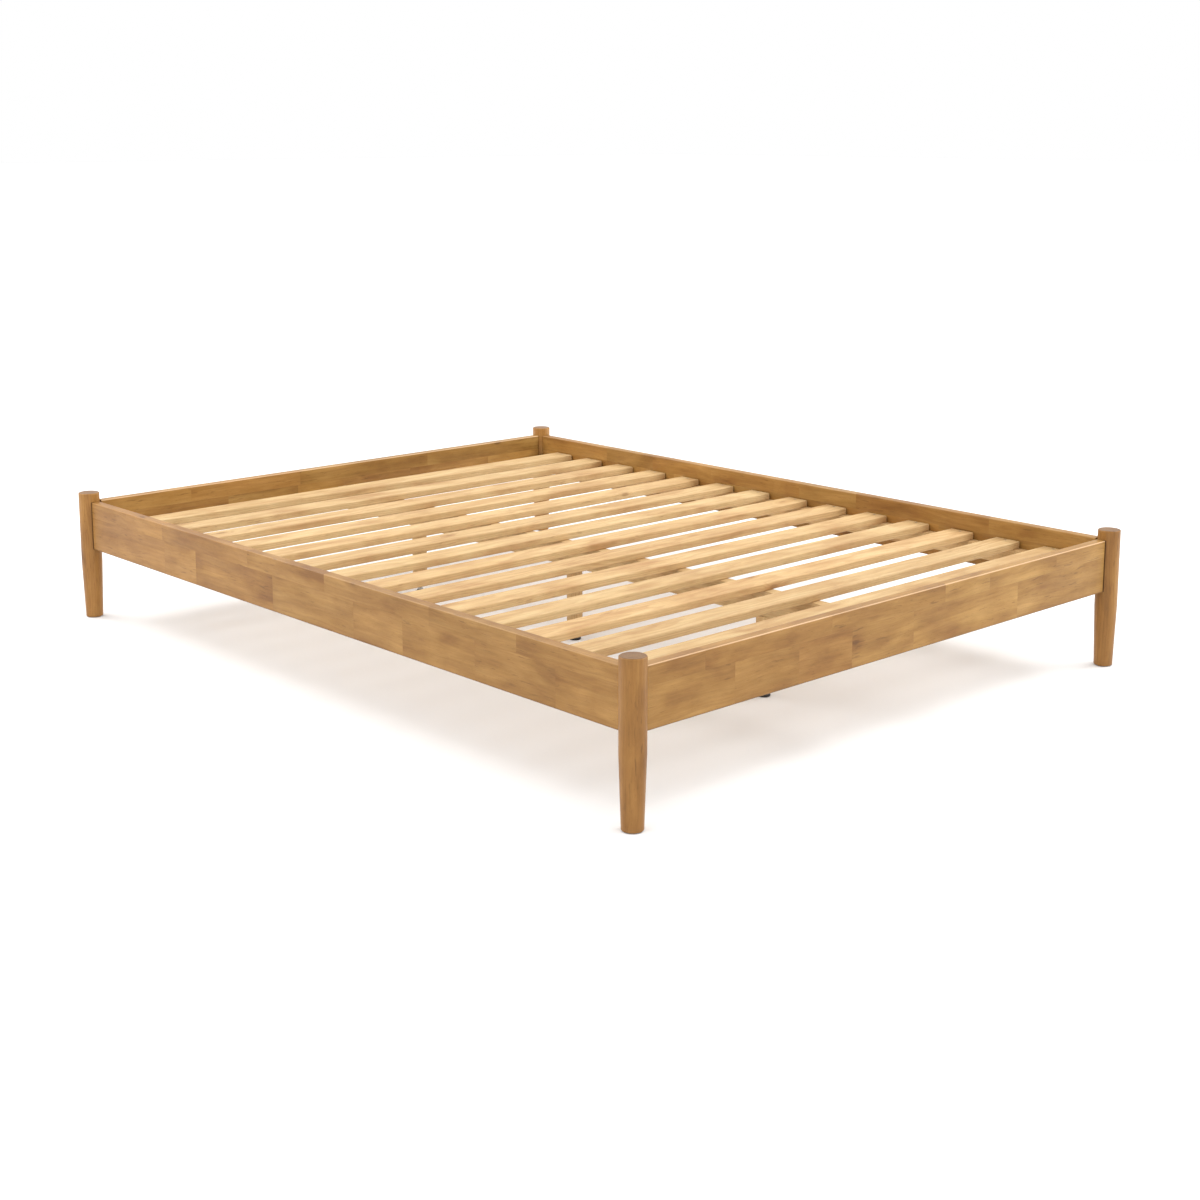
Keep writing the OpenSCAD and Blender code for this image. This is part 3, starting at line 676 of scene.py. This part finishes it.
# The staves of the two rails that the camera sees
side_lower = [
    (-0.640, -0.07, 0.07), (-0.490, 0.03, 0.04), (-0.150, -0.05, 0.05), (0.170, -0.02, 0.00),
    (0.348, -0.08, 0.03), (0.590, 0.00, 0.00), (0.836, -0.09, 0.02), (RAIL_END, -0.08, 0.03),
]
side_upper = [
    (-0.830, -0.03, 0.06), (-0.648, 0.02, 0.06), (-0.255, -0.05, 0.05), (0.060, 0.00, 0.02),
    (0.440, -0.04, 0.01), (0.720, -0.09, 0.01), (RAIL_END, -0.10, 0.03),
]
# The head rail's staves turn lighter and yellower toward its negative X end: partly the staves' own tones,
# and partly painted light for the brighter light toward that end
end_lower = [
    (-0.409, 0.09, -0.04), (-0.029, 0.13, -0.04), (0.175, 0.08, -0.03), (0.340, -0.10, 0.06),
    (0.527, -0.06, 0.02), (RAIL_END, -0.03, 0.01),
]
end_upper = [
    (-0.560, 0.06, -0.02), (-0.300, 0.11, -0.04), (-0.137, 0.10, -0.04), (0.240, 0.03, -0.01),
    (0.610, -0.02, 0.02), (RAIL_END, -0.03, 0.02),
]
side_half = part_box("side_rail_right")[1].y
end_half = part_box("head_rail")[1].x
left_rows = (random_staves(11, side_half), random_staves(12, side_half))
foot_rows = (random_staves(21, end_half), random_staves(22, end_half))
stave_rail("side_rail_right_staves", "side_rail_right", "Y", 1, (side_lower, side_upper))
stave_rail("head_rail_staves", "head_rail", "X", 1, (end_lower, end_upper))
stave_rail("side_rail_left_staves", "side_rail_left", "Y", -1, left_rows)
stave_rail("foot_rail_staves", "foot_rail", "X", -1, foot_rows)


# ---------- finishes of the carried-over parts ----------


def finish_nodes(material, names):
    for name in names:
        mesh = nodes[name].data
        mesh.materials.clear()
        mesh.materials.append(material)


def named(*starts):
    return [name for name in nodes if name.startswith(starts)]


posts = [name for name in named("post_") if name != "post_glides"]
slats = sorted(name for name in named("slat_") if name != "slat_screws")
supports = ["ledger_left", "ledger_right", "centre_beam"]
fasteners = ["threaded_inserts", "bracket_screws", "ledger_screws", "slat_screws", "leg_bolts"]
slat_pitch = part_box(slats[1])[0].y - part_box(slats[0])[0].y
finish_nodes(post_wood("post_wood"), posts)
finish_nodes(plain_wood("slat_wood_planed", "X", slat_pitch, seed=3.0), slats)
finish_nodes(plain_wood("support_wood_planed", "Y", 0.5, seed=5.0), supports)
finish_nodes(plain_wood("leg_wood_turned", "Z", 0.4, seed=7.0), named("centre_leg_"))
finish_nodes(plain_wood("dowel_wood_planed", "X", 0.3, seed=9.0), ["rail_dowels"])
zinc = zinc_plate("zinc_plated_steel")
finish_nodes(zinc, named("corner_", "beam_hanger_", "level_stud_") + fasteners)
finish_nodes(moulded_plastic("black_moulded_plastic"), named("level_pad_") + ["post_glides"])


# ---------- bent brackets and threaded studs ----------

BRACKET_STEEL = 3 * MM
BRACKET_REACH = 40 * MM  # from the post axis to the plate that the bolts pull on
BEND_RADIUS = 3 * MM  # on the inside of a bend
BEND_STEPS = 6
BROKEN_EDGE = 0.4 * MM
STEEL_CORNER = 50  # degrees: the strip turns more than this at its edges, and less in its bends
THREAD_PITCH = 1.25 * MM
THREAD_ROOT = 3.3 * MM  # radius at the bottom of the thread
THREAD_DEPTH = 0.65 * MM
THREAD_RUN_OUT = 0.9 * MM  # length over which the thread fades at each end
THREAD_SIDES = 24
THREAD_ROWS = 6  # rows of points in one pitch
COLLAR_HEIGHT = 5.5 * MM
COLLAR_CHAMFER = 0.8 * MM  # height of the chamfer
CHAMFER_INSET = 0.1 * MM  # from the flats, at the collar's end
CHAMFER_SLOPE = 1.7  # how fast the chamfer widens
CHAMFER_STEPS = 4
COLLAR_SIDES = 72


def rounded_path(points, radius):
    """A path with its inner corners replaced by arcs."""
    path = [points[0]]
    for before, corner, after in zip(points, points[1:], points[2:]):
        to_before = (before - corner).normalized()
        to_after = (after - corner).normalized()
        half = to_before.angle(to_after) / 2
        middle = corner + (to_before + to_after).normalized() * (radius / math.sin(half))
        start = corner + to_before * (radius / math.tan(half)) - middle
        stop = corner + to_after * (radius / math.tan(half)) - middle
        for i in range(BEND_STEPS + 1):
            turned = start.normalized().slerp(stop.normalized(), i / BEND_STEPS)
            path.append(middle + turned * radius)
    path.append(points[-1])
    return path


def bent_bracket(node, post):
    """Corner bracket as one strip of steel with two rounded 45 degree bends and slightly broken edges."""
    low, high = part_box(node)
    axis = (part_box(post)[0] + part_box(post)[1]) / 2
    sx, sy = math.copysign(1, axis.x), math.copysign(1, axis.y)
    near = abs(axis.x) - max(abs(low.x), abs(high.x))
    wing = abs(axis.x) - min(abs(low.x), abs(high.x))

    def surface(offset, radius):
        """One surface of the strip, offset from the surface that faces the post."""
        at = near + offset
        bend = (BRACKET_REACH + offset) * math.sqrt(2) - at
        corners = [(-at, -wing), (-at, -bend), (-bend, -at), (-wing, -at)]
        return rounded_path([Vector((x, y, 0)) for x, y in corners], radius)

    post_side = surface(0.0, BEND_RADIUS + BRACKET_STEEL)
    bed_side = surface(BRACKET_STEEL, BEND_RADIUS)
    work = bmesh.new()
    rings = []
    for a, b in zip(post_side, bed_side):
        corners = [(a, low.z), (b, low.z), (b, high.z), (a, high.z)]
        rings.append([work.verts.new((axis.x + sx * v.x, axis.y + sy * v.y, z)) for v, z in corners])
    join_rings(work, rings)
    bmesh.ops.recalc_face_normals(work, faces=work.faces)
    work.normal_update()
    sharp = [edge for edge in work.edges if edge.calc_face_angle(0) > math.radians(STEEL_CORNER)]
    bmesh.ops.bevel(work, geom=sharp, offset=BROKEN_EDGE, segments=2, affect="EDGES", profile=0.5)
    piece = zinc_piece(node + "_bent", work)
    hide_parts(node)
    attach(piece, "frame")


def join_rings(work, rings):
    """Faces from each ring of points to the next, and one over each end."""
    count = len(rings[0])
    for one, two in zip(rings, rings[1:]):
        for i in range(count):
            k = (i + 1) % count
            work.faces.new((one[i], one[k], two[k], two[i]))
    work.faces.new(rings[0])
    work.faces.new(rings[-1])


def zinc_piece(name, work):
    mesh = bpy.data.meshes.new(name)
    work.to_mesh(mesh)
    work.free()
    return finish_mesh(name, mesh, zinc, sharp_degrees=40)


def threaded_stud(node, pad, body):
    """Levelling stud with a real thread and a chamfered hexagon collar."""
    low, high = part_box(node)
    middle = (low + high) / 2
    collar_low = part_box(pad)[1].z
    collar_high = collar_low + COLLAR_HEIGHT
    flat = min(high.x - low.x, high.y - low.y) / 2
    work = bmesh.new()

    def tube(heights, sides, radius):
        rings = []
        for z in heights:
            ring = []
            for i in range(sides):
                angle = 2 * math.pi * i / sides
                r = radius(z, angle)
                at = (middle.x + r * math.cos(angle), middle.y + r * math.sin(angle), z)
                ring.append(work.verts.new(at))
            rings.append(ring)
        join_rings(work, rings)

    def thread(z, angle):
        """Radius of the thread, with a narrow flat on its crest and at its root."""
        phase = (z / THREAD_PITCH - angle / (2 * math.pi)) % 1.0
        groove = min(1.0, max(0.0, 2.4 * abs(phase - 0.5) - 0.1))  # 0 on the crest, 1 at the root
        faded = min(1.0, (high.z - z) / THREAD_RUN_OUT, (z - low.z) / THREAD_RUN_OUT)
        return THREAD_ROOT + THREAD_DEPTH * (1.0 - groove) * faded

    def hexagon(z, angle):
        to_side = flat / math.cos(angle % (math.pi / 3) - math.pi / 6)
        from_end = min(z - collar_low, collar_high - z)
        return min(to_side, flat - CHAMFER_INSET + CHAMFER_SLOPE * from_end)

    rows = int((high.z - low.z) / (THREAD_PITCH / THREAD_ROWS))
    tube([low.z + (high.z - low.z) * i / rows for i in range(rows + 1)], THREAD_SIDES, thread)
    chamfer = [COLLAR_CHAMFER * i / CHAMFER_STEPS for i in range(CHAMFER_STEPS + 1)]
    lower = [collar_low + rise for rise in chamfer]
    upper = [collar_high - rise for rise in reversed(chamfer)]
    tube(lower + upper, COLLAR_SIDES, hexagon)
    piece = zinc_piece(node + "_threaded", work)
    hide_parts(node)
    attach(piece, body)


for end in ("head", "foot"):
    for side in ("left", "right"):
        bent_bracket(f"corner_bracket_{end}_{side}", f"post_{end}_{side}")
for place in ("head", "middle", "foot"):
    threaded_stud(f"level_stud_{place}", f"level_pad_{place}", f"levelling_foot_{place}")


# ---------- floor, light and camera ----------

FLOOR_REACH = 60.0
FLOOR_DROP = 0.2 * MM  # keeps the floor out of the plane of the glides' undersides
LIT = Vector((0.0, 0.0, 0.2))  # the middle of the bed, which every lamp points at
SOFT_BOX = dict(shape="RECTANGLE", size=2.4, size_y=1.4)
SOFT_SKY = dict(angle=math.radians(60))
CAMERA_PLACE = (3.0421, 3.3894, 1.2868)
CAMERA_YAW = -132.7212  # degrees from +X towards +Y
CAMERA_PITCH = -10.1071  # degrees above level
SENSOR_WIDTH = 36.0  # millimetres, as is the focal length
FOCAL_LENGTH = 55.212
SHIFT_UP = -0.12  # of the picture's width


def lay_floor():
    t = Tree("studio_floor")
    cloud = t.noise(t.place(), (0.8, 0.8, 0.8), 2.0, 0.5)
    colour = t.ramp(cloud, [(0.3, (0.84, 0.84, 0.84)), (0.7, (0.87, 0.87, 0.87))])
    t.shade(colour, 0.9, Specular_IOR_Level=0.1)
    mesh = bpy.data.meshes.new("floor")
    corners = [(FLOOR_REACH * x, FLOOR_REACH * y, 0) for x, y in ((-1, -1), (1, -1), (1, 1), (-1, 1))]
    mesh.from_pydata(corners, [], [(0, 1, 2, 3)])
    floor = bpy.data.objects.new("floor", mesh)
    bpy.context.scene.collection.objects.link(floor)
    mesh.materials.append(t.material)
    floor.location.z = -FLOOR_DROP


def light_world():
    world = bpy.data.worlds.new("studio")
    bpy.context.scene.world = world
    world.use_nodes = True
    background = world.node_tree.nodes["Background"]
    background.inputs["Color"].default_value = (1.0, 1.0, 1.0, 1.0)
    background.inputs["Strength"].default_value = 1.0


def looking(made, place, ahead):
    """Puts an object in the scene, looking along ahead."""
    made.location = place
    made.rotation_mode = "QUATERNION"
    made.rotation_quaternion = ahead.to_track_quat("-Z", "Y")
    bpy.context.scene.collection.objects.link(made)


def add_lamp(name, kind, place, power, **settings):
    light = bpy.data.lights.new(name, kind)
    light.energy = power
    for key, value in settings.items():
        setattr(light, key, value)
    looking(bpy.data.objects.new(name, light), place, LIT - Vector(place))


def aim_camera():
    data = bpy.data.cameras.new("camera")
    data.sensor_fit = "HORIZONTAL"
    data.sensor_width = SENSOR_WIDTH
    data.lens = FOCAL_LENGTH
    data.shift_y = SHIFT_UP
    data.clip_start, data.clip_end = 0.05, 100.0
    camera = bpy.data.objects.new("camera", data)
    yaw, pitch = math.radians(CAMERA_YAW), math.radians(CAMERA_PITCH)
    level = math.cos(pitch)
    ahead = Vector((level * math.cos(yaw), level * math.sin(yaw), math.sin(pitch)))
    looking(camera, CAMERA_PLACE, ahead)
    bpy.context.scene.camera = camera


lay_floor()
light_world()
add_lamp("broad_left", "SUN", (4.0, -1.2, 4.6), 0.8, **SOFT_SKY)
add_lamp("broad_right", "SUN", (-1.2, 4.0, 4.6), 0.8, **SOFT_SKY)
add_lamp("edge_light_head", "AREA", (-3.2, 1.8, 3.4), 90, **SOFT_BOX)
add_lamp("edge_light_side", "AREA", (1.6, -3.6, 3.4), 90, **SOFT_BOX)
aim_camera()
bpy.context.scene.view_settings.view_transform = "Standard"
